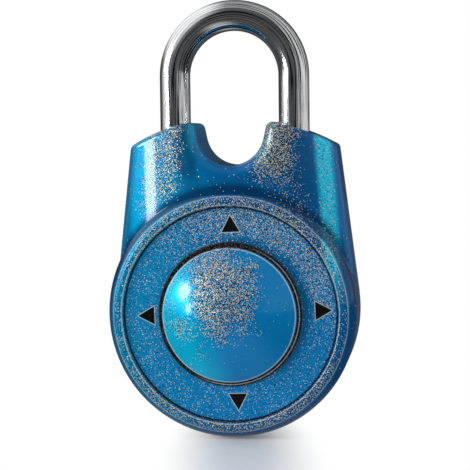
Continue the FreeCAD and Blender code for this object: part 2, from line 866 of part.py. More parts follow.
def tongue(low, high, start, foot, tip, seat, along):
    """One bent tongue: a blade that reaches back, and a foot on the yoke."""
    thick = math.copysign(S.tongue_thickness.value, start.value)
    blade = sorted((start.value, start.value + thick))
    foot_span = sorted((start.value, foot.value))
    solids = []
    for span, depth in ((blade, (tip, seat)), (foot_span, (seat - S.tongue_thickness, seat))):
        across = high.value - low.value
        back = -depth[0].value
        deep = depth[1].value - depth[0].value
        long = span[1] - span[0]
        if along == "z":
            solid = Part.makeBox(across, deep, long, V(low.value, back - deep, span[0]))
        else:
            solid = Part.makeBox(long, deep, across, V(span[0], back - deep, low.value))
        solids.append(solid)
    return solids[0].fuse(solids[1]).removeSplitter()


def make_centring_springs():
    """The bent strips that bring each yoke back to the middle."""
    near = S.centring_post + S.strip_thickness
    far = S.window_length / 2 - S.strip_thickness
    low = S.window_width / 2 - S.strip_thickness * 1.5
    strips = []
    turned_strips = []
    for side in (1, -1):
        across = [(near, -low), ((near + far) / 2, low), (far, -low)]
        points = [(side * a, b - S.centring_place) for a, b in across]
        strips.append(strip(points, SIDE_YOKE_BACK + S.layer_gap, SIDE_YOKE_FRONT))
        points = [(b - S.centring_place, side * a) for a, b in across]
        turned_strips.append(strip(points, LIFT_YOKE_BACK + S.layer_gap, LIFT_YOKE_FRONT))
    new_solid("side_centring_springs", Part.makeCompound(strips))
    new_solid("lift_centring_springs", Part.makeCompound(turned_strips))


# Wheels


def make_ratchet_wheel(label, x, z):
    """A saw-toothed wheel that one push of the knob steps round."""
    body = new_body(label, x, z)
    pad(body, "blank", [
        circle(0, 0, S.ratchet_radius), polygon(S.tooth_count, S.hub_radius + S.hub_fit),
    ], RATCHET_BACK, RATCHET_FRONT)
    root_radius = S.ratchet_radius - S.tooth_depth
    step = 360 / S.tooth_count
    outside = S.ratchet_radius + S.tooth_depth
    tooth = pocket(body, "tooth", [[
        (0, root_radius), (S.ratchet_radius * sine(step), S.ratchet_radius * cosine(step)),
        (outside * sine(step), outside * cosine(step)), (0, outside),
    ]], RATCHET_BACK, RATCHET_FRONT)
    polar(body, tooth, S.tooth_count)


def make_gate_disc(label, x, z):
    """A disc with one gate in its edge, and a hub that keys into the toothed wheel."""
    body = new_body(label, x, z)
    pad(body, "disc", [circle(0, 0, S.disc_radius)], DISC_BACK, DISC_FRONT)
    pad(body, "hub", [polygon(S.tooth_count, S.hub_radius)], DISC_FRONT, RATCHET_FRONT)
    half = S.gate_width / 2
    pocket(body, "gate", [box(
        -half, S.disc_radius - S.gate_depth, half, S.disc_radius + S.overcut,
    )], DISC_BACK, DISC_FRONT)
    pocket(body, "bore", [circle(0, 0, S.wheel_post_radius + S.running_fit)],
           DISC_BACK, RATCHET_FRONT)


def make_wheel_post(label, x, z):
    """The post that a wheel turns on, riveted in the mechanism plate."""
    body = new_body(label, x, z)
    pad(body, "post", [circle(0, 0, S.wheel_post_radius)],
        MECHANISM_BACK, RATCHET_FRONT + S.layer_gap / 4)


def spiral(x, z):
    """A flat spiral spring round a wheel's post."""
    inner = S.wheel_post_radius.value + S.strip_thickness.value
    pitch = 0.7
    turns = 1.75
    steps = 21
    points = []
    for number in range(steps + 1):
        angle = 2 * math.pi * turns * number / steps
        radius = inner + pitch * turns * number / steps
        points.append((x.value + radius * math.cos(angle), z.value + radius * math.sin(angle)))
    return strip(points, FENCE_BACK - S.layer_gap, DISC_BACK - S.layer_gap)


def make_wheel_springs():
    """The springs that turn the wheels back, and the strips that hold each step."""
    spirals = []
    holders = []
    for right, up in WHEELS:
        x = right * S.wheel_spread
        z = up * S.wheel_height
        spirals.append(spiral(x, z))
        reach = S.ratchet_radius + S.strip_thickness
        tip_x = right * (S.wheel_spread + reach * cosine(S.holder_angle))
        tip_z = up * (S.wheel_height + reach * sine(S.holder_angle))
        seat_z = tip_z + up * S.strip_thickness
        seat_x = right * (side_of(S.cavity_radius, seat_z) - S.strip_thickness)
        middle = ((tip_x + seat_x) / 2, tip_z + up * S.strip_thickness)
        holders.append(strip([(tip_x, tip_z), middle, (seat_x, seat_z)],
                             RATCHET_BACK + S.layer_gap, RATCHET_FRONT - S.layer_gap))
    new_solid("wheel_return_springs", Part.makeCompound(spirals))
    new_solid("holding_springs", Part.makeCompound(holders))


# Fence, bolt and mechanism plate


def make_fence_bar():
    """The bar whose four fingers drop into the gates when they all line up."""
    body = new_body("fence_bar")
    reach = S.wheel_spread + S.fence_arm / 2
    half = S.fence_bar_width / 2
    low = S.disc_radius + S.fence_gap
    top = S.bolt_floor - S.bolt_gap * 1.5
    upper = S.wheel_height + low
    lower = -S.wheel_height + low
    pad(body, "bar", [[
        (-reach, lower), (reach, lower), (reach, lower + S.fence_arm),
        (half, lower + S.fence_arm), (half, upper), (reach, upper),
        (reach, upper + S.fence_arm), (half, upper + S.fence_arm), (half, top), (-half, top),
        (-half, upper + S.fence_arm), (-reach, upper + S.fence_arm), (-reach, upper),
        (-half, upper), (-half, lower + S.fence_arm), (-reach, lower + S.fence_arm),
    ]], FENCE_BACK, FENCE_FRONT)
    fingers = []
    for right, up in WHEELS:
        x = right * S.wheel_spread
        z = up * S.wheel_height + low
        fingers.append(box(x - S.finger_width / 2, z, x + S.finger_width / 2,
                           z + S.finger_height))
    pad(body, "fingers", fingers, FENCE_FRONT - S.fence_thickness / 2,
        DISC_FRONT - S.running_fit)


def make_fence_spring():
    """The leaf that presses the fence bar towards the gates."""
    arm = S.wheel_height + S.disc_radius + S.fence_gap + S.fence_arm
    x = S.fence_bar_width
    roof = side_of(S.cavity_radius, x)
    points = [(x, roof - S.strip_thickness), (S.wheel_spread, (roof + arm) / 2),
              (x, arm + S.strip_thickness)]
    new_solid("fence_spring", strip(points, FENCE_BACK + S.layer_gap, FENCE_FRONT))


def make_latch_bolt():
    """The bolt that catches the notch of the shackle's toe."""
    body = new_body("latch_bolt")
    right = BOLT_BACK_END
    left = right - S.bolt_length
    high = S.bolt_floor + S.bolt_height
    pad(body, "bolt", [[
        (left, S.bolt_floor), (right, S.bolt_floor), (right, high - S.bolt_slope),
        (right - S.bolt_slope, high), (left, high),
    ]], -S.bolt_width / 2, S.bolt_width / 2)


def make_bolt_spring():
    """The folded spring that pushes the bolt out."""
    left = CHANNEL_END - S.channel_length + S.strip_thickness
    right = BOLT_BACK_END - S.bolt_length - S.strip_thickness
    low = S.bolt_floor + S.strip_thickness
    high = S.bolt_floor + S.bolt_height - S.strip_thickness
    folds = 6
    points = []
    for number in range(folds + 1):
        x = left + (right - left) * (number / folds)
        points.append((x, high if number % 2 else low))
    new_solid("bolt_spring", strip(points, -S.bolt_width / 6, S.bolt_width / 6))


def make_mechanism_plate():
    """The plate that carries the wheels' posts, screwed to three bosses."""
    body = new_body("mechanism_plate")
    radius = S.cavity_radius - S.mechanism_gap
    front = MECHANISM_FRONT
    posts = [circle(r * S.wheel_spread, u * S.wheel_height, S.wheel_post_radius) for r, u in WHEELS]
    screws = [circle(x, z, S.screw_radius + S.peg_fit) for x, z in screw_places()]
    pad(body, "plate", [circle(0, 0, radius)] + posts + screws, MECHANISM_BACK, front)
    clear = S.chamber_radius + S.mechanism_gap
    pocket(body, "heel_notch", [box(
        -S.leg_spread - 2 * clear, S.heel_end - S.squeeze - S.leg_chamfer,
        -S.leg_spread + clear, S.cavity_radius,
    )], MECHANISM_BACK, front)
    pad(body, "centring_post", [circle(-S.centring_place, 0, S.centring_post)],
        MECHANISM_BACK, LIFT_YOKE_FRONT)


def make_plate_screws():
    """The three screws of the mechanism plate."""
    screws = []
    for x, z in screw_places():
        x = as_size(x)
        z = as_size(z)
        head = ring_solid(x, z, S.screw_head_radius, None,
                          MECHANISM_BACK - S.screw_head_height, MECHANISM_BACK)
        shank = ring_solid(x, z, S.screw_radius, None, MECHANISM_BACK - S.screw_head_height / 2,
                           MECHANISM_FRONT + S.screw_length - S.layer_gap)
        screws.append(head.fuse(shank).removeSplitter())
    new_solid("plate_screws", Part.makeCompound(screws))


# Shackle


def make_shackle():
    """The bent rod, with a notch in its toe and a groove round its heel."""
    body = new_body("shackle")
    path = new_sketch(body, "path", "XZ_Plane", 0)
    draw_outline(path, [
        (S.leg_spread, S.toe_end), (S.leg_spread, S.bow_centre, S.leg_spread),
        (0, S.bow_centre + S.leg_spread, S.leg_spread), (-S.leg_spread, S.bow_centre),
        (-S.leg_spread, S.heel_end),
    ], closed=False)
    section = new_sketch(body, "section", "XY_Plane", S.toe_end)
    draw_circle(section, S.leg_spread, 0, S.shackle_radius)
    rod = body.newObject("PartDesign::AdditivePipe", "rod")
    rod.Profile = section
    rod.Spine = (path, [f"Edge{number + 1}" for number in range(path.GeometryCount)])
    ends = [(S.leg_spread, -S.shackle_radius, S.toe_end),
            (-S.leg_spread, -S.shackle_radius, S.heel_end)]
    bevel_edges(body, "ends", rod, ends, S.leg_chamfer)
    outer = S.shackle_radius + S.clip_height
    drill(body, "clip_groove", [
        circle(-S.leg_spread, 0, outer), circle(-S.leg_spread, 0, S.groove_radius),
    ], CLIP_FLOOR, CLIP_FLOOR + S.clip_height)
    face = S.leg_spread - S.shackle_radius
    low = S.bolt_floor - S.bolt_gap
    deep = BOLT_BACK_END + S.bolt_travel + S.bolt_gap / 2
    clear = S.shackle_radius * 2
    outside = face - S.leg_chamfer
    pocket(body, "toe_notch", [[
        (outside, low), (deep, low), (deep, low + S.notch_height - S.leg_chamfer),
        (outside, low + S.notch_height + S.leg_chamfer),
    ]], -clear, clear)


def make_heel_clip():
    """The open ring in the heel's groove, which stops the shackle coming out."""
    body = new_body("heel_clip")
    sketch = new_sketch(body, "ring_sketch", "XY_Plane", CLIP_FLOOR)
    draw_circle(sketch, -S.leg_spread, 0, S.clip_radius)
    draw_circle(sketch, -S.leg_spread, 0, S.groove_radius)
    ring = body.newObject("PartDesign::Pad", "clip_ring")
    ring.Profile = sketch
    bind(ring, "Length", S.clip_height)
    half = S.groove_radius * 0.8
    drill(body, "mouth", [box(
        -S.leg_spread - S.clip_radius - S.overcut, -half, -S.leg_spread, half,
    )], CLIP_FLOOR, CLIP_FLOOR + S.clip_height)


def make_clear_spring():
    """The leaf under the toe that lifts the squeezed shackle back."""
    reach = S.shackle_radius / 2
    points = [(S.leg_spread - reach, SHELF_TOP + S.strip_thickness),
              (S.leg_spread + reach, (SHELF_TOP + S.toe_end) / 2),
              (S.leg_spread - reach, S.toe_end - S.strip_thickness)]
    new_solid("clear_spring", strip(points, MECHANISM_FRONT + S.layer_gap, S.tongue_width))


# Code change lever


def make_change_slide():
    """The slide behind the mechanism plate that frees the discs from their wheels."""
    body = new_body("change_slide")
    half = S.slide_width / 2
    reach = S.wheel_spread
    low = S.lever_low - S.rivet_radius
    arm = S.slide_arm / 2
    pad(body, "slide", [[
        (-half, low), (half, low), (half, -arm), (reach, -arm), (reach, arm), (-reach, arm),
        (-reach, -arm), (-half, -arm),
    ], circle(0, S.lever_low + S.lever_length / 2, S.rivet_radius)], SLIDE_BACK, SLIDE_FRONT)


def make_reset_lever():
    """The small lever in the back that a new code is set with."""
    body = new_body("reset_lever")
    middle = S.lever_low + S.lever_length / 2
    low = S.lever_low
    high = S.lever_low + S.lever_length
    foot_back = SLIDE_BACK - S.slide_thickness
    head_front = S.rear_depth + S.recess_depth - S.running_fit * 2
    half = S.lever_width / 2
    foot = S.slide_width / 2 - S.lever_gap
    pad(body, "foot", [box(-foot, low - S.lever_gap, foot, high + S.lever_gap)],
        foot_back, SLIDE_BACK)
    pad(body, "neck", [box(-half, low, half, high)], head_front, foot_back)
    wide = S.head_width / 2
    tall = S.head_length / 2
    pad(body, "head", [box(-wide, middle - tall, wide, middle + tall)],
        head_front - S.head_thickness, head_front)
    half_grip = S.head_thickness / 4
    rows = [middle + step * S.head_length / 4 for step in (-1, 0, 1)]
    pocket(body, "grips", [box(-wide, row - half_grip, wide, row + half_grip) for row in rows],
           head_front - S.head_thickness, head_front - S.head_thickness / 2)
    pocket(body, "rivet_hole", [circle(0, middle, S.rivet_radius)],
           foot_back - S.rivet_radius, SLIDE_BACK)


def make_lever_rivet():
    """The rivet that joins the lever's foot to the slide."""
    body = new_body("lever_rivet")
    middle = S.lever_low + S.lever_length / 2
    foot_back = SLIDE_BACK - S.slide_thickness
    pad(body, "shank", [circle(0, middle, S.rivet_radius)],
        foot_back - S.rivet_radius, SLIDE_FRONT)


make_front_housing()
make_rear_cover()
make_dial_plate()
make_knob()
make_knob_skirt()
make_stem_washer()
make_stem_screw()
make_side_yoke()
make_lift_yoke()
make_drive_springs()
make_centring_springs()
for place, (right, up) in enumerate(WHEELS, start=1):
    wheel_x = right * S.wheel_spread
    wheel_z = up * S.wheel_height
    make_ratchet_wheel(f"ratchet_wheel_{place}", wheel_x, wheel_z)
    make_gate_disc(f"gate_disc_{place}", wheel_x, wheel_z)
    make_wheel_post(f"wheel_post_{place}", wheel_x, wheel_z)
make_wheel_springs()
make_fence_bar()
make_fence_spring()
make_latch_bolt()
make_bolt_spring()
make_mechanism_plate()
make_plate_screws()
make_shackle()
make_heel_clip()
make_clear_spring()
make_change_slide()
make_reset_lever()
make_lever_rivet()
document.recompute()

failed = [item.Name for item in document.Objects
          if "Invalid" in item.State or "Error" in item.State]
if failed:
    raise RuntimeError(f"these objects failed: {failed}")
os.makedirs("parts", exist_ok=True)
for subpart in subparts:
    if subpart.Shape.isNull() or not subpart.Shape.isValid():
        raise RuntimeError(f"{subpart.Label} has no valid shape")
    subpart.Shape.exportStep(f"parts/{subpart.Label}.step")
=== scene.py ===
import json
import math

import bpy
from mathutils import Matrix, Vector


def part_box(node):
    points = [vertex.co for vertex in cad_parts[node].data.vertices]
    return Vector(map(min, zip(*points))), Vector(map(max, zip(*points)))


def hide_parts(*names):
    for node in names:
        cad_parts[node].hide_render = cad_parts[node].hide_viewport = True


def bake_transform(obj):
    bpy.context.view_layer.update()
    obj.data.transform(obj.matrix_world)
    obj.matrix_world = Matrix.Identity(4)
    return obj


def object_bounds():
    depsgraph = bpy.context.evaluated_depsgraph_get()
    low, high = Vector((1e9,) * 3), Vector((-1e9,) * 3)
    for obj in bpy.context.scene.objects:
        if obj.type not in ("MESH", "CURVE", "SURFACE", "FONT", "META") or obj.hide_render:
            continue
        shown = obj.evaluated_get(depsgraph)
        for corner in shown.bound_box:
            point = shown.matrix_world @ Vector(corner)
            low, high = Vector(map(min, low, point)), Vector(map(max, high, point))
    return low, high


# The looks of a directional combination padlock: finishes, studio and camera.
# Everything is in metres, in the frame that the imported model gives.

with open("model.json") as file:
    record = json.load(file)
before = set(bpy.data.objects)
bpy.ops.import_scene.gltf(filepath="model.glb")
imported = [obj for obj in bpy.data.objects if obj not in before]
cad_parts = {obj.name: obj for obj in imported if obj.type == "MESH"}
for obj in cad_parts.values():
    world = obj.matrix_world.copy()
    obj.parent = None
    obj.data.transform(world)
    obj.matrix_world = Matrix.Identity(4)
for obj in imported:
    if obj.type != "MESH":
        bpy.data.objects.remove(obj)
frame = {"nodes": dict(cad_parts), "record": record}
cad_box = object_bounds()

MM = 0.001

# Places that the finishes are set out from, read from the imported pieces
plate_low, plate_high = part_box("dial_plate")
bow_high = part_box("shackle")[1]
DIAL_CENTRE = (plate_low + plate_high) / 2
FLOOR_LEVEL = cad_box[0][2]
BOW_CENTRE = bow_high.z - bow_high.x

# The photograph's camera, from a fit to the legs, the rim, the knob and the outline.
# Azimuth, elevation and roll are in degrees, the sensor's width in millimetres.
AZIMUTH = 8.2
ELEVATION = 3.8
ROLL = -0.64
DISTANCE = 342 * MM
FOCAL_PIXELS = 1471
FRAME_PIXELS = 470
AIM = Vector((-0.2, 0, -47.1)) * MM
SENSOR_WIDTH = 36.0
CLIP_START = 10 * MM


class Value:
    """A socket that Python's operators add Math nodes to."""

    def __init__(self, finish, socket):
        self.finish = finish
        self.socket = socket

    def joined(self, operation, other, swap=False):
        """A Math node on this socket and another value, in this order or swapped."""
        pair = (other, self) if swap else (self, other)
        return self.finish.node("Math", {"operation": operation}, dict(enumerate(pair)))

    def __add__(self, other):
        return self.joined("ADD", other)

    def __radd__(self, other):
        return self.joined("ADD", other, swap=True)

    def __sub__(self, other):
        return self.joined("SUBTRACT", other)

    def __rsub__(self, other):
        return self.joined("SUBTRACT", other, swap=True)

    def __mul__(self, other):
        return self.joined("MULTIPLY", other)

    def __rmul__(self, other):
        return self.joined("MULTIPLY", other, swap=True)

    def __truediv__(self, other):
        return self.joined("DIVIDE", other)

    def __pow__(self, other):
        return self.joined("POWER", other)

    def __lt__(self, other):
        return self.joined("LESS_THAN", other)


class Finish:
    """A material on one Principled shader, whose constants are set on its own sockets."""

    def __init__(self, name, **constants):
        self.material = bpy.data.materials.new(name)
        self.material.use_nodes = True
        self.tree = self.material.node_tree
        self.shader = self.tree.nodes["Principled BSDF"]
        for socket, constant in constants.items():
            self.shader.inputs[socket.replace("_", " ")].default_value = constant
        self.place = self.node("TexCoord", output="Object")

    def node(self, kind, settings=None, inputs=None, output=0):
        """Add a node, set its settings, fill its inputs and return one of its outputs."""
        node = self.tree.nodes.new("ShaderNode" + kind)
        for name, setting in (settings or {}).items():
            if name == "stops":
                set_stops(node.color_ramp, setting)
            else:
                setattr(node, name, setting)
        for name, given in (inputs or {}).items():
            if isinstance(given, Value):
                self.tree.links.new(given.socket, node.inputs[name])
            else:
                node.inputs[name].default_value = given
        return Value(self, node.outputs[output])

    def drive(self, socket, value):
        """Feed one of the shader's sockets."""
        self.tree.links.new(value.socket, self.shader.inputs[socket])

    def noise(self, scale, detail=2.0, roughness=0.5, vector=None):
        """Even noise around 0.5, with its scale in lumps per metre."""
        return self.node("TexNoise", {}, {
            "Vector": vector or self.place, "Scale": scale, "Detail": detail,
            "Roughness": roughness,
        }, "Fac")

    def ramp(self, value, stops):
        """A colour for each value, from pairs of place and colour."""
        return self.node("ValToRGB", {"stops": stops}, {"Fac": value}, "Color")

    def smooth(self, value, low, high):
        """Rise smoothly from 0 at low to 1 at high, which may be the smaller number."""
        return self.node("MapRange", {"interpolation_type": "SMOOTHSTEP"}, {
            "Value": value, "From Min": low, "From Max": high,
        })

    def maths(self, operation, *numbers):
        """One Math node on one or two numbers."""
        return self.node("Math", {"operation": operation}, dict(enumerate(numbers)))

    def vectors(self, operation, inputs):
        """One Vector Math node."""
        return self.node("VectorMath", {"operation": operation}, inputs)

    def mix(self, factor, first, second):
        """The first colour at a factor of 0, the second at 1."""
        return self.node("Mix", {"data_type": "RGBA"}, {
            0: factor, 6: first, 7: second,
        }, output=2)

    def axes(self, vector=None):
        """The three numbers of a vector."""
        split = self.node("SeparateXYZ", {}, {0: vector or self.place}).socket.node
        return [Value(self, socket) for socket in split.outputs]

    def bump(self, height, strength, distance):
        """A bump from a height between 0 and 1."""
        return self.node("Bump", {}, {
            "Height": height, "Strength": strength, "Distance": distance,
        })


def set_stops(ramp, stops):
    """Set a ramp's stops from pairs of place and colour."""
    while len(ramp.elements) < len(stops):
        ramp.elements.new(1.0)
    for element, (place, colour) in zip(ramp.elements, stops):
        element.position = place
        element.color = colour


def srgb(red, green, blue):
    """A colour from its eight-bit sRGB numbers."""
    linear = []
    for number in (red, green, blue):
        part = number / 255
        linear.append(part / 12.92 if part <= 0.04045 else ((part + 0.055) / 1.055) ** 2.4)
    return (*linear, 1)


def grey(tone):
    """A linear grey."""
    return (tone, tone, tone, 1)


# Metallic blue paint: its blues, of which azure, cyan and glint serve as painted light and navy
# also as painted shade, its flakes' colours, pale for painted highlight lines, the size of a
# flake, and how far a flake leans that lies askew and one that lies flat

NAVY = srgb(0, 50, 92)
DEEP = srgb(0, 95, 156)
BLUE = srgb(0, 123, 184)
AZURE = srgb(0, 148, 190)
CYAN = srgb(0, 186, 222)
GLINT = srgb(30, 196, 232)
BRONZE = srgb(158, 140, 108)
SILVER = srgb(206, 208, 186)
PALE = srgb(186, 200, 200)
SOOT = srgb(3, 5, 10)
FLAKE = 0.15 * MM
ASKEW_LEAN = 0.5
FLAT_LEAN = 0.03

# Where the castings' front begins and where it is full, in millimetres of depth
FRONT_BEGINS = -1.5
FRONT_FULL = -6.0

# The shade that the knob throws on the dial plate, in millimetres from the dial's centre
SHADE_CENTRE = (1.3, 0.7)
SHADE_EDGE = 18.2

# The dial's painted highlight hairlines on the edges round it, and its printed arrows with
# painted highlight outlines, in millimetres and degrees.
# ARROW_BASE and ARROW_TIP are measured from the middle of the four arrows.
SEAT_LINE = 24.85
RIM_LINE = 26.75
KNOB_LINE = 15.05
SKIRT_LINE = 15.85
LINE_WIDTH = 0.16
ARROW_BASE = 18.4
ARROW_TIP = 22.1
ARROW_HALF = 2.05
ARROW_ANGLE = 2.0
ARROW_CENTRE = (1.0, 0.35)
ARROW_EDGE = 0.02
INK = srgb(14, 13, 15)


def from_dial(finish):
    """How far right of the dial's centre and above it, in millimetres."""
    x, z = finish.axes()[::2]
    return (x - DIAL_CENTRE.x) / MM, (z - DIAL_CENTRE.z) / MM


def front(finish):
    """1 on the front of the castings, 0 on their sides and back."""
    y = finish.axes()[1]
    return finish.smooth(y / MM, FRONT_BEGINS, FRONT_FULL)


def length(x, z):
    """How far a pair of numbers is from zero."""
    return (x * x + z * z) ** 0.5


def band(finish, x, z, top, bottom, width):
    """1 along a slanting line from top to bottom, with soft sides and a soft lower end."""
    slope = (bottom[0] - top[0]) / (bottom[1] - top[1])
    off = finish.maths("ABSOLUTE", x - top[0] - (z - top[1]) * slope)
    side = finish.smooth(off, width * 1.5, width * 0.5)
    fade = (top[1] - bottom[1]) / 4
    return side * finish.smooth(z, bottom[1] - fade, bottom[1] + fade)


def flake_paint(name, ground, share, **constants):
    """Lacquer over a ground colour, in which a share of the flakes lies askew and shines out,
    partly by its lean and partly as a painted glint in pale colours.
    """
    finish = Finish(name, **constants)
    cells = {"Vector": finish.place, "Scale": 1 / FLAKE, "Randomness": 1.0}
    chance = finish.node("TexVoronoi", {}, cells, "Color")
    red, green, blue = finish.axes(chance)
    askew = red < share(finish)
    flake = finish.ramp(green, [
        (0.0, SOOT), (0.46, SOOT), (0.5, NAVY), (0.56, BRONZE), (0.7, SILVER), (1.0, SILVER),
    ])
    finish.drive("Base Color", finish.mix(askew, ground(finish), flake))
    finish.drive("Roughness", 0.33 + 0.08 * askew * blue)
    normal = finish.node("NewGeometry", output="Normal")
    lean = finish.vectors("SUBTRACT", {0: chance, 1: (0.5, 0.5, 0.5)})
    lean = finish.vectors("SCALE", {0: lean, "Scale": askew * ASKEW_LEAN + FLAT_LEAN})
    leant = finish.vectors("ADD", {0: normal, 1: lean})
    finish.drive("Normal", finish.vectors("NORMALIZE", {0: leant}))
    return finish


# Places, widths and radii in the patches below are millimetres from the dial's centre


def body_share(finish):
    """Flakes on the shoulders beside the notch, round the rim and a few elsewhere, placed as
    painted glints where the highlights fall.
    """
    x, z = from_dial(finish)
    drift = finish.noise(420, 3.0, 0.7) - 0.5
    radius = length(x, z)
    # Painted glints: flakes shown in bands where the highlight streaks fall.
    left = band(finish, x + drift * 6, z, top=(-14.6, 46), bottom=(-17.0, 22), width=4.0)
    left = left * finish.smooth(radius, 28.5, 31)
    right = band(finish, x + drift * 6, z, top=(11.8, 46), bottom=(9.2, 31), width=3.9)
    tail = band(finish, x + drift * 8, z, top=(11.0, 38), bottom=(15.5, 21), width=3.5)
    streak = band(finish, x + drift * 3, z, top=(20.8, 38), bottom=(23, 12), width=1.6)
    rim = finish.smooth(radius, RIM_LINE + 0.3, RIM_LINE - 0.3)
    ends = finish.smooth(finish.maths("ABSOLUTE", z), 6, 20)
    shown = 0.44 * left + 0.6 * right + 0.12 * tail + 0.14 * streak
    shown = shown + rim * (0.14 + 0.22 * ends)
    forward = front(finish)
    return shown * (0.15 + 0.85 * forward) * (1.0 - (1.0 - forward) * rim) + 0.008


def knob_share(finish):
    """Flakes as painted glints: a patch above the knob's middle, a small one at its left that
    stands in for a second highlight, and some below.
    """
    x, z = from_dial(finish)
    drift = finish.noise(240, 4.0, 0.7) - 0.5
    from_patch = length(x + 0.4 + z * 0.1, (z - 5.8) * 0.76) + drift * 14
    patch = finish.smooth(from_patch, 10.0, 4.5)
    # Painted reflection: this patch of flakes stands in for the knob's second highlight.
    from_spot = length(x + 10, z + 2.5) + drift * 5
    spot = finish.smooth(from_spot, 3.6, 1.2)
    strewn = finish.smooth(x - z * 0.3, 0, -7) * finish.smooth(drift, -0.02, 0.1)
    return 0.58 * patch + 0.3 * spot + 0.2 * strewn + 0.004


def dial_share(finish):
    """Flakes all over the dial plate, most of them near its top, and fewer in the knob's painted
    shadow.
    """
    x, z = from_dial(finish)
    drift = finish.noise(260, 3.0, 0.7) - 0.5
    height = z + x * 0.5 + drift * 22
    shade = knob_shade(finish, x, z, 16.0)
    return (0.1 + 0.34 * finish.smooth(height, 2, 24)) * (1.0 - 0.8 * shade)


def knob_shade(finish, x, z, full):
    """1 in the knob's shade at the upper right, full inside a radius."""
    radius = length(x - SHADE_CENTRE[0], z - SHADE_CENTRE[1])
    return finish.smooth(radius, SHADE_EDGE, full) * finish.smooth(x + z * 0.4, -2, 10)


def clouded(finish, tone):
    """A tone from 0 to 1 that drifts a little."""
    clouds = finish.smooth(finish.noise(90, 3.0), 0.35, 0.65)
    return tone * (0.75 + 0.25 * clouds)


def dial_ground(finish):
    """Blue, with painted light in azure towards the left and the knob's painted shadow in navy
    at its upper right.
    """
    x, z = from_dial(finish)
    # Painted light: azure towards the left, where the key lamp stands.
    lit = finish.mix(clouded(finish, 0.4 * finish.smooth(x, 0, -24)), BLUE, AZURE)
    return finish.mix(0.6 * knob_shade(finish, x, z, 15.6), lit, NAVY)


def knob_ground(finish):
    """Blue, with painted light in cyan towards the left and the lower left, and a painted
    highlight hairline round the knob's edge.
    """
    x, z = from_dial(finish)
    # Painted light: cyan towards the left, where the key lamp stands.
    lit = finish.mix(clouded(finish, finish.smooth(x + z * 0.3, -1, -12)), BLUE, CYAN)
    # Painted highlight: a pale hairline round the knob's edge.
    return finish.mix(0.8 * ring(finish, x, z, KNOB_LINE), lit, PALE)


def body_ground(finish):
    """Deep blue with painted light: lighter at the left, by the notch and in a painted highlight
    streak on the right shoulder;
    painted shade in navy in the hollows, round the rim's foot and at the left edge; painted
    highlight hairlines on the rim."""
    x, z = from_dial(finish)
    # Painted light: lighter towards the left, where the key lamp stands, and along the lips of
    # the notch.
    left = 0.8 * finish.smooth(x, 2, -22)
    notch = band(finish, x, z, top=(8.0, 48), bottom=(7.4, 34), width=1.5)
    notch = notch + band(finish, x, z, top=(-9.0, 48), bottom=(-9.4, 36), width=1.1)
    lit = finish.mix(clouded(finish, left + 0.7 * notch), DEEP, AZURE)
    # Painted highlight: a glint streak down the right shoulder.
    streak = band(finish, x, z, top=(20.1, 48), bottom=(23.4, 8), width=1.7)
    lit = finish.mix(streak, lit, GLINT)
    # Painted shade: navy in the hollows beside the notch and on the right shoulder.
    hollow = 0.64 * band(finish, x, z, top=(-12.4, 47), bottom=(-9.0, 30), width=2.2)
    hollow = hollow + 0.4 * band(finish, x, z, top=(15.5, 44), bottom=(16.5, 24), width=3.0)
    lit = finish.mix(hollow, lit, NAVY)
    radius = length(x, z)
    # Painted shade: navy round the foot of the rim and at the far left edge.
    crease = finish.smooth(radius, 26.8, 27.4) * finish.smooth(radius, 30.5, 28.6)
    crease = crease * (0.6 + 0.25 * finish.smooth(z, -2, 12))
    edge = finish.smooth(x, -22.6, -24.6) * finish.smooth(radius, 27, 29)
    # Painted highlight hairlines along the rim's outer edge and its seat.
    lines = 0.45 * ring(finish, x, z, RIM_LINE) + ring(finish, x, z, SEAT_LINE)
    forward = front(finish)
    shaded = finish.mix((crease + 0.5 * edge) * forward, lit, NAVY)
    return finish.mix(lines * forward, shaded, PALE)


def ring(finish, x, z, radius):
    """1 on a hairline round the dial's centre."""
    off = finish.maths("ABSOLUTE", length(x, z) - radius)
    return finish.smooth(off, LINE_WIDTH, LINE_WIDTH * 0.4)


def arrow_marks(finish, colour):
    """Paint the sunk arrows black, with a pale painted highlight line round the edge of each
    recess.
    """
    x, z = from_dial(finish)
    across = x - ARROW_CENTRE[0]
    rise = z - ARROW_CENTRE[1]
    cosine = math.cos(math.radians(ARROW_ANGLE))
    sine = math.sin(math.radians(ARROW_ANGLE))
    turned_x = finish.maths("ABSOLUTE", across * cosine + rise * sine)
    turned_z = finish.maths("ABSOLUTE", rise * cosine - across * sine)
    outward = finish.maths("MAXIMUM", turned_x, turned_z)
    aside = finish.maths("MINIMUM", turned_x, turned_z)
    height = ARROW_TIP - ARROW_BASE
    past_side = aside * height + (outward - ARROW_TIP) * ARROW_HALF
    past_side = past_side / math.hypot(ARROW_HALF, height)
    outside = finish.maths("MAXIMUM", ARROW_BASE - outward, past_side)
    # Painted highlight: a pale line along the edge of each recess.
    line = finish.smooth(outside, LINE_WIDTH * 1.6, LINE_WIDTH * 0.8)
    outlined = finish.mix(0.75 * line, colour, PALE)
    return finish.mix(outside < ARROW_EDGE, outlined, INK)


def make_body_paint():
    """The castings: glossy lacquer."""
    return flake_paint(
        "body_paint", body_ground, body_share, Metallic=0.35, Specular_IOR_Level=0.0,
        Coat_Weight=1.0, Coat_Roughness=0.08, Coat_IOR=1.36)


def make_knob_paint():
    """The knob: the same lacquer, a little softer."""
    return flake_paint(
        "knob_paint", knob_ground, knob_share, Metallic=0.28, Specular_IOR_Level=0.0,
        Coat_Weight=1.0, Coat_Roughness=0.12, Coat_IOR=1.34)


def make_dial_paint():
    """The dial plate: satin, with flakes all over and black arrows in their recesses."""
    finish = flake_paint(
        "dial_paint", dial_ground, dial_share, Metallic=0.2, Specular_IOR_Level=0.1,
        Coat_Weight=0.2, Coat_Roughness=0.35, Coat_IOR=1.36)
    colour = Value(finish, finish.shader.inputs["Base Color"].links[0].from_socket)
    finish.drive("Base Color", arrow_marks(finish, colour))
    return finish


# Metals and plastic


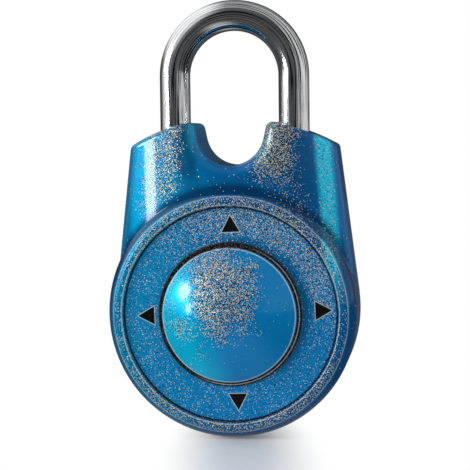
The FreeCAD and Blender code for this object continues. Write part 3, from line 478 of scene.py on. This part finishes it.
def make_chrome():
    """Polished plating with fine lines along the bent rod: real polish lines in the bump and
    roughness, and painted dark and bright reflection streaks in the colour, with the left side
    painted lighter where the lamps stand.
    """
    finish = Finish("shackle_chrome", Metallic=1.0)
    x, y, z = finish.axes()
    above = finish.maths("MAXIMUM", z - BOW_CENTRE, 0.0)
    radius = length(x, above)
    along = finish.node("CombineXYZ", {}, {0: radius, 1: y, 2: z * 0.02})
    lines = finish.noise(3400, 2.0, 0.6, vector=along)
    clouds = finish.noise(250, 2.0)
    across, up = finish.axes(finish.node("NewGeometry", output="Normal"))[::2]
    # Painted light: the side of the rod that faces the lamps at the left takes the lighter ramp.
    bright = finish.smooth(across - up * 0.25, -0.15, -0.4)
    # Painted reflections and shade: dark and bright streaks on the side away from the lamps.
    shaded_streaks = finish.ramp(lines, [
        (0.0, srgb(8, 8, 10)), (0.42, srgb(28, 29, 32)), (0.47, srgb(214, 216, 218)),
        (0.54, srgb(255, 255, 255)),
    ])
    clear = finish.ramp(lines, [
        (0.0, srgb(150, 152, 156)), (0.42, srgb(205, 207, 210)), (0.5, srgb(255, 255, 255)),
    ])
    finish.drive("Base Color", finish.mix(bright, shaded_streaks, clear))
    finish.drive("Roughness", 0.07 + 0.1 * lines + 0.05 * clouds)
    finish.drive("Normal", finish.bump(lines, 0.4, 0.08 * MM))
    return finish


def make_plastic():
    """Satin black moulding, with a painted highlight hairline on the skirt's lip on one side."""
    finish = Finish("black_plastic", Metallic=0.0, Specular_IOR_Level=0.2)
    grain = finish.noise(4200, 2.0)
    x, z = from_dial(finish)
    black = finish.ramp(grain, [
        (0.0, srgb(5, 5, 7)), (0.56, srgb(12, 11, 13)), (0.66, srgb(110, 92, 78)),
    ])
    # Painted highlight: a pale hairline on the skirt's lip, on one side of the knob.
    lit = ring(finish, x, z, SKIRT_LINE) * finish.smooth(x - z * 0.5, -4, 8) * grain
    finish.drive("Base Color", finish.mix(lit, black, PALE))
    finish.drive("Roughness", 0.3 + 0.15 * grain)
    finish.drive("Normal", finish.bump(grain, 0.2, 0.03 * MM))
    return finish


def make_steel(name, dark, light, scale):
    """Plated or tempered steel with a worked grain."""
    finish = Finish(name, Metallic=1.0)
    grain = finish.noise(scale, 4.0, 0.6)
    finish.drive("Base Color", finish.mix(grain, dark, light))
    finish.drive("Roughness", 0.22 + 0.2 * grain)
    finish.drive("Normal", finish.bump(grain, 0.15, 0.03 * MM))
    return finish


def make_brass():
    """Stamped brass with rolled streaks."""
    finish = Finish("wheel_brass", Metallic=1.0)
    x, y, z = finish.axes()
    rolled = finish.node("CombineXYZ", {}, {0: x * 8, 1: y, 2: z})
    grain = finish.noise(900, 3.0, 0.6, vector=rolled)
    finish.drive("Base Color", finish.mix(grain, srgb(176, 138, 74), srgb(222, 190, 122)))
    finish.drive("Roughness", 0.25 + 0.2 * grain)
    return finish


finishes = {
    "body_paint": make_body_paint(),
    "dial_paint": make_dial_paint(),
    "knob_paint": make_knob_paint(),
    "black_plastic": make_plastic(),
    "shackle_chrome": make_chrome(),
    "plated_steel": make_steel("plated_steel", srgb(150, 152, 156), srgb(198, 200, 204), 2200),
    "spring_steel": make_steel("spring_steel", srgb(120, 122, 128), srgb(164, 168, 176), 3000),
    "wheel_brass": make_brass(),
}

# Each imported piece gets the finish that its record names
for subpart in frame["record"]["subparts"]:
    node = frame["nodes"][subpart["node"]]
    for slot in node.material_slots:
        slot.material = finishes[subpart["material_slot"]].material


# Centring springs, each split into two strips

MERGE_DISTANCE = 0.001 * MM


def bend_springs(node, axis):
    """Split a node into two strips, one at each side of its middle, and hide the node."""
    low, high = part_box(node)
    middle = (low + high) / 2
    for side, name in ((1, "first"), (-1, "second")):
        outward = Vector((0, 0, 0))
        outward[axis] = side
        strip = bpy.data.objects.new(f"{node}_{name}", frame["nodes"][node].data.copy())
        bpy.context.scene.collection.objects.link(strip)
        bpy.ops.object.select_all(action="DESELECT")
        strip.select_set(True)
        bpy.context.view_layer.objects.active = strip
        bpy.ops.object.mode_set(mode="EDIT")
        bpy.ops.mesh.select_all(action="SELECT")
        bpy.ops.mesh.remove_doubles(threshold=MERGE_DISTANCE)
        bpy.ops.mesh.bisect(plane_co=middle, plane_no=outward, clear_inner=True)
        bpy.ops.object.mode_set(mode="OBJECT")
        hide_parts(node)
        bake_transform(strip)


bend_springs("side_centring_springs", 0)
bend_springs("lift_centring_springs", 2)


# Studio

WHITE = grey(1)
LIGHT_LEVEL = grey(0.56)

# The room that gloss and chrome mirror: dark before and behind the lock, pale at its sides.
# Each tone's place goes once round the lock: behind it at 0 and 1, left at 0.25, front at 0.5.
FRONT_WALL = (0.07, 0.07, 0.074, 1)
CEILING = grey(0.4)
UPPER_LEFT = grey(0.95)
MIRRORED_FLOOR = grey(0.35)
WALLS = [
    (0.0, grey(0.04)), (0.2, grey(0.05)), (0.25, grey(0.6)), (0.385, grey(0.65)),
    (0.42, FRONT_WALL), (0.56, FRONT_WALL), (0.6, grey(0.4)), (0.72, grey(0.68)),
    (0.83, grey(0.6)), (0.91, grey(0.08)), (1.0, grey(0.04)),
]

# The patch of floor at the lock's foot that takes its shadow and its reflection.
# It is drawn out towards the camera, squeezed sideways, and fades between two distances.
FLOOR_SIZE = 4.0
PATCH_CENTRE = (1 * MM, -30 * MM)
PATCH_LEAN = 0.144
PATCH_SQUEEZE = 4.1
PATCH_FADE = (10 * MM, 78 * MM)
MIRRORED_FADE = (50 * MM, 160 * MM)
MIRRORED_PLAIN = 0.65


def make_floor():
    """A glossy pale floor that fades into plain white round the patch at the lock's foot."""
    bpy.ops.object.select_all(action="DESELECT")
    bpy.ops.mesh.primitive_plane_add(size=FLOOR_SIZE, location=(0, 0, FLOOR_LEVEL))
    floor = bpy.context.object
    floor.name = "floor"
    finish = Finish("floor_white", Base_Color=srgb(245, 245, 247), Roughness=0.16)
    floor.data.materials.append(finish.material)
    x, y = finish.axes()[:2]
    across = (x + y * PATCH_LEAN - PATCH_CENTRE[0]) * PATCH_SQUEEZE
    away = length(across, y - PATCH_CENTRE[1])
    seen = light_path(finish, ("Is Camera Ray", "Is Glossy Ray", "Is Transmission Ray"))
    mirrored = light_path(finish, ("Is Glossy Ray",))
    plain = finish.smooth(away, *PATCH_FADE) * seen
    plain = finish.maths("MAXIMUM", plain, mirrored * MIRRORED_PLAIN)
    room = finish.mix(finish.smooth(away, *MIRRORED_FADE), MIRRORED_FLOOR, FRONT_WALL)
    tone = finish.mix(mirrored, WHITE, room)
    white = finish.node("Emission", {}, {"Color": tone, "Strength": 1.0})
    glossy = Value(finish, finish.shader.outputs[0])
    blend = finish.node("MixShader", {}, {0: plain, 1: glossy, 2: white})
    finish.tree.links.new(blend.socket, finish.tree.nodes["Material Output"].inputs[0])


def light_path(finish, names):
    """1 for a ray of any of these kinds."""
    rays = finish.node("LightPath").socket.node
    total = Value(finish, rays.outputs[names[0]])
    for name in names[1:]:
        total = finish.maths("MAXIMUM", total, Value(finish, rays.outputs[name]))
    return total


class Sky(Finish):
    """The world's nodes, built like a finish."""

    def __init__(self, world):
        world.use_nodes = True
        self.tree = world.node_tree
        self.tree.nodes.clear()
        self.place = self.node("TexCoord", output="Generated")
        self.output = self.tree.nodes.new("ShaderNodeOutputWorld")


def make_world():
    """Plain white to the camera, an even light on the lock, and a room for its gloss."""
    world = bpy.data.worlds.new("studio")
    bpy.context.scene.world = world
    sky = Sky(world)
    x, y, z = sky.axes()
    turn = sky.maths("ARCTAN2", x, 0.0 - y) / (2 * math.pi) + 0.5
    room = sky.ramp(turn, WALLS)
    above = sky.smooth(z, 0.5, 0.9) * sky.smooth(x, -0.6, -0.3)
    room = sky.mix(0.8 * above, room, CEILING)
    upper_left = sky.smooth(z, 0.15, 0.45) * sky.smooth(x, -0.2, -0.45)
    room = sky.mix(upper_left, room, UPPER_LEFT)
    shown = light_path(sky, ("Is Camera Ray", "Is Transmission Ray"))
    mirrored = light_path(sky, ("Is Glossy Ray",))
    colour = sky.mix(mirrored, LIGHT_LEVEL, room)
    colour = sky.mix(shown, colour, WHITE)
    background = sky.node("Background", {}, {"Color": colour, "Strength": 1.0})
    sky.tree.links.new(background.socket, sky.output.inputs[0])


def direction(azimuth, elevation):
    """The unit vector at an azimuth from the front towards +X, and an elevation."""
    turn = math.radians(azimuth)
    rise = math.radians(elevation)
    level = math.cos(rise)
    return Vector((math.sin(turn) * level, -math.cos(turn) * level, math.sin(rise)))


def add_lamp(name, azimuth, elevation, distance, size, watts, shape="RECTANGLE", mirrored=True):
    """A soft box that faces the dial, and that gloss mirrors or not."""
    lamp = bpy.data.lights.new(name, "AREA")
    lamp.shape = shape
    lamp.size, lamp.size_y = size
    lamp.energy = watts
    holder = bpy.data.objects.new(name, lamp)
    bpy.context.scene.collection.objects.link(holder)
    way = direction(azimuth, elevation)
    holder.visible_glossy = mirrored
    holder.location = DIAL_CENTRE + way * distance
    holder.rotation_euler = way.to_track_quat("Z", "Y").to_euler()


def make_camera():
    """The photograph's view."""
    lens = bpy.data.cameras.new("camera")
    lens.sensor_width = SENSOR_WIDTH
    lens.lens = FOCAL_PIXELS / FRAME_PIXELS * SENSOR_WIDTH
    lens.clip_start = CLIP_START
    camera = bpy.data.objects.new("camera", lens)
    bpy.context.scene.collection.objects.link(camera)
    back = direction(AZIMUTH, ELEVATION)
    right = Vector((0, 0, 1)).cross(back).normalized()
    up = back.cross(right)
    roll = math.radians(ROLL)
    across = right * math.cos(roll) + up * math.sin(roll)
    upward = up * math.cos(roll) - right * math.sin(roll)
    turn = Matrix((across, upward, back)).transposed().to_4x4()
    camera.matrix_world = Matrix.Translation(AIM + back * DISTANCE) @ turn
    bpy.context.scene.camera = camera


make_floor()
make_world()
add_lamp("key", azimuth=-66, elevation=18, distance=0.6, size=(0.17, 0.17), watts=1.6,
         shape="ELLIPSE")
add_lamp("strip", azimuth=-55, elevation=0, distance=0.6, size=(0.065, 0.15), watts=0.65)
add_lamp("fill", azimuth=52, elevation=4, distance=0.7, size=(0.35, 0.35), watts=1.6,
         mirrored=False)
add_lamp("top", azimuth=10, elevation=75, distance=0.7, size=(0.5, 0.4), watts=0.8,
         mirrored=False)
make_camera()
bpy.context.scene.view_settings.view_transform = "Standard"
